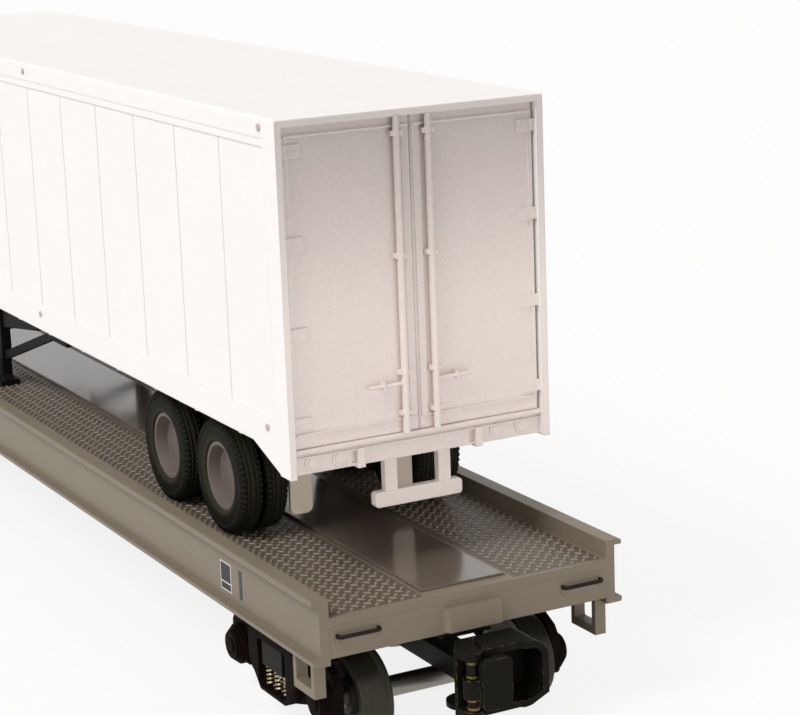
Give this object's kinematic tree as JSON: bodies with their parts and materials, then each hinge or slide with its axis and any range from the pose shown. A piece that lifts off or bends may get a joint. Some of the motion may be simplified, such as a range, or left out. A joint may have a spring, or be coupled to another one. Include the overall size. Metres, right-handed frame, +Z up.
{
  "type": "toy flatcar with road trailer",
  "caption": "Toy railway flatcar on two swivelling four-wheel trucks with knuckle couplers, carrying a boxy two-axle road van trailer on its tread-plate deck.",
  "frame": {"origin": "on the floor under the middle of the car, level with the wheel flanges", "axes": "+X along the car toward the end where the trailer has its doors, +Y to its left, +Z up"},
  "size_m": [0.3134, 0.064, 0.1151],
  "materials": {
    "car_paint": "warm grey moulded plastic, satin",
    "deck_smooth": "smooth brown-grey plastic, half gloss",
    "underframe_black": "black painted casting",
    "screw_steel": "plain steel screw",
    "wire_black": "blackened wire",
    "trailer_white": "white moulded plastic, satin",
    "chassis_black": "black moulded plastic",
    "truck_casting": "dark brown-black die casting",
    "spring_steel": "bright spring wire",
    "coupler_black": "blackened die casting, edges worn bright",
    "pin_steel": "dark steel pin",
    "wheel_metal": "dark sintered metal",
    "axle_steel": "plain steel",
    "tyre_rubber": "black rubber",
    "rim_plastic": "grey-mauve moulded plastic"
  },
  "bodies": {
    "flatcar": {"car_body": "car_paint", "deck_strip": "deck_smooth", "underframe": "underframe_black", "cross_bearers": "underframe_black", "brake_gear": "underframe_black", "end_sill_a": "car_paint", "stirrups_a": "car_paint", "grab_irons_a": "wire_black", "pivot_screw_a": "screw_steel", "end_sill_b": "car_paint", "stirrups_b": "car_paint", "grab_irons_b": "wire_black", "pivot_screw_b": "screw_steel", "trailer_body": "trailer_white", "marker_lamps": "trailer_white", "trailer_floor": "trailer_white", "door_left": "trailer_white", "door_right": "trailer_white", "lock_rods": "trailer_white", "rear_sill": "trailer_white", "rear_bumper": "trailer_white", "mud_flaps": "trailer_white", "trailer_bogie": "chassis_black", "landing_gear": "chassis_black", "kingpin_plate": "chassis_black"},
    "truck_a": {"truck_bolster_a": "truck_casting", "side_frame_a_left": "truck_casting", "side_frame_a_right": "truck_casting", "springs_a": "spring_steel", "coupler_a": "coupler_black", "knuckle_pin_a": "pin_steel", "armature_a": "coupler_black"},
    "knuckle_a": {"knuckle_a": "coupler_black"},
    "wheelset_a1": {"wheels_a1": "wheel_metal", "axle_a1": "axle_steel"},
    "wheelset_a2": {"wheels_a2": "wheel_metal", "axle_a2": "axle_steel"},
    "truck_b": {"truck_bolster_b": "truck_casting", "side_frame_b_left": "truck_casting", "side_frame_b_right": "truck_casting", "springs_b": "spring_steel", "coupler_b": "coupler_black", "knuckle_pin_b": "pin_steel", "armature_b": "coupler_black"},
    "knuckle_b": {"knuckle_b": "coupler_black"},
    "wheelset_b1": {"wheels_b1": "wheel_metal", "axle_b1": "axle_steel"},
    "wheelset_b2": {"wheels_b2": "wheel_metal", "axle_b2": "axle_steel"},
    "road_wheels_rear": {"tyres_rear": "tyre_rubber", "rims_rear": "rim_plastic", "road_axle_rear": "axle_steel"},
    "road_wheels_front": {"tyres_front": "tyre_rubber", "rims_front": "rim_plastic", "road_axle_front": "axle_steel"}
  },
  "joints": [
    {"name": "truck_a_swivel", "type": "hinge", "parent": "flatcar", "child": "truck_a", "pos_m": [0.11425, 0, 0.017], "axis": [0, 0, 1], "range_deg": [-12, 12]},
    {"name": "knuckle_a_hinge", "type": "hinge", "parent": "truck_a", "child": "knuckle_a", "pos_m": [0.15335, -0.0047, 0.0145], "axis": [0, 0, -1], "range_deg": [0, 45]},
    {"name": "wheelset_a1_roll", "type": "hinge", "parent": "truck_a", "child": "wheelset_a1", "pos_m": [0.1325, 0, 0.0092], "axis": [0, 1, 0], "continuous": true},
    {"name": "wheelset_a2_roll", "type": "hinge", "parent": "truck_a", "child": "wheelset_a2", "pos_m": [0.096, 0, 0.0092], "axis": [0, 1, 0], "continuous": true},
    {"name": "truck_b_swivel", "type": "hinge", "parent": "flatcar", "child": "truck_b", "pos_m": [-0.11425, 0, 0.017], "axis": [0, 0, 1], "range_deg": [-12, 12]},
    {"name": "knuckle_b_hinge", "type": "hinge", "parent": "truck_b", "child": "knuckle_b", "pos_m": [-0.15335, 0.0047, 0.0145], "axis": [0, 0, -1], "range_deg": [0, 45]},
    {"name": "wheelset_b1_roll", "type": "hinge", "parent": "truck_b", "child": "wheelset_b1", "pos_m": [-0.1325, 0, 0.0092], "axis": [0, 1, 0], "continuous": true},
    {"name": "wheelset_b2_roll", "type": "hinge", "parent": "truck_b", "child": "wheelset_b2", "pos_m": [-0.096, 0, 0.0092], "axis": [0, 1, 0], "continuous": true},
    {"name": "road_wheels_rear_roll", "type": "hinge", "parent": "flatcar", "child": "road_wheels_rear", "pos_m": [0.0894, 0, 0.04145], "axis": [0, 1, 0], "continuous": true},
    {"name": "road_wheels_front_roll", "type": "hinge", "parent": "flatcar", "child": "road_wheels_front", "pos_m": [0.0624, 0, 0.04145], "axis": [0, 1, 0], "continuous": true}
  ]
}
